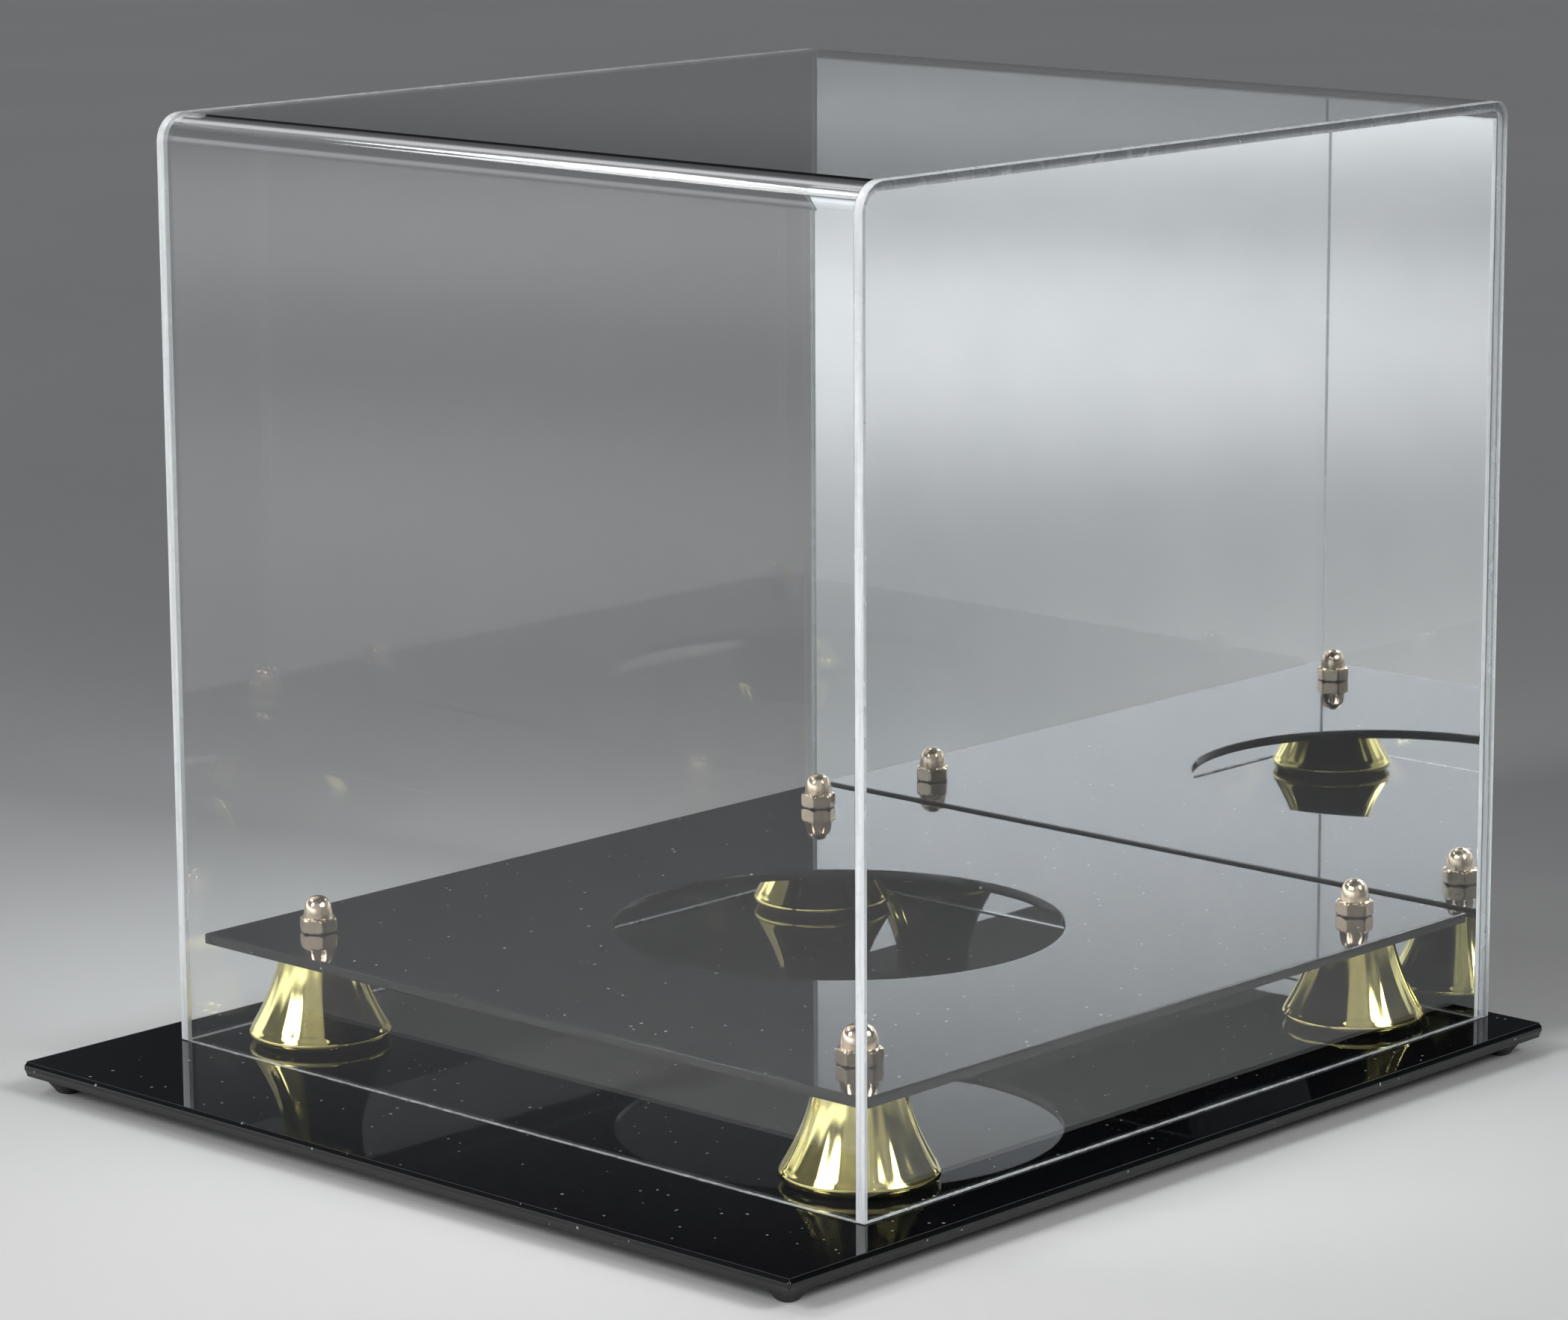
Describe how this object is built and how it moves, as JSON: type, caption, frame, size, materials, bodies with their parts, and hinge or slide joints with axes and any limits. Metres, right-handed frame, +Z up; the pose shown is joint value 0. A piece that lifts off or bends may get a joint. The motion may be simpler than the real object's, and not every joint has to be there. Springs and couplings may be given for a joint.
{
  "type": "display case",
  "caption": "Tabletop display case for a ball: loose clear box cover with mirrored back over a black base and a raised platform with a round ball seat on gold bell risers.",
  "frame": {"origin": "centre of the base plate's footprint, on the surface that the feet stand on", "axes": "+Z up; +X to the right seen from the front; the front, with the wide ledge, faces -Y and the mirror is at +Y"},
  "size_m": [0.3104, 0.3364, 0.2885],
  "materials": {
    "black_acrylic": "gloss black acrylic sheet, polished bevels",
    "clear_acrylic": "clear acrylic sheet, 3 mm, with pale sawn edges",
    "mirror_acrylic": "clear acrylic mirror sheet, grey painted back",
    "gold_plate": "mirror-bright yellow gold plating on fluted bells",
    "pale_brass": "bright pale rose-brass plating",
    "zinc_steel": "bright zinc",
    "bumper_rubber": "matt black moulded bumper"
  },
  "bodies": {
    "stand": {"base_plate": "black_acrylic", "foot_front_left": "bumper_rubber", "foot_front_right": "bumper_rubber", "foot_back_left": "bumper_rubber", "foot_back_right": "bumper_rubber", "screw_front_left": "zinc_steel", "screw_front_right": "zinc_steel", "screw_back_left": "zinc_steel", "screw_back_right": "zinc_steel", "riser_front_left": "gold_plate", "riser_front_right": "gold_plate", "riser_back_left": "gold_plate", "riser_back_right": "gold_plate", "platform": "black_acrylic", "cap_nut_front_left": "pale_brass", "cap_nut_front_right": "pale_brass", "cap_nut_back_left": "pale_brass", "cap_nut_back_right": "pale_brass"},
    "cover": {"cover_bent_sheet": "clear_acrylic", "cover_left_panel": "clear_acrylic", "cover_right_panel": "clear_acrylic", "mirror_panel": "mirror_acrylic"}
  },
  "joints": [
    {"name": "cover_lift", "type": "slide", "parent": "stand", "child": "cover", "axis": [0, 0, 1], "range_m": [0, 0.3]}
  ]
}
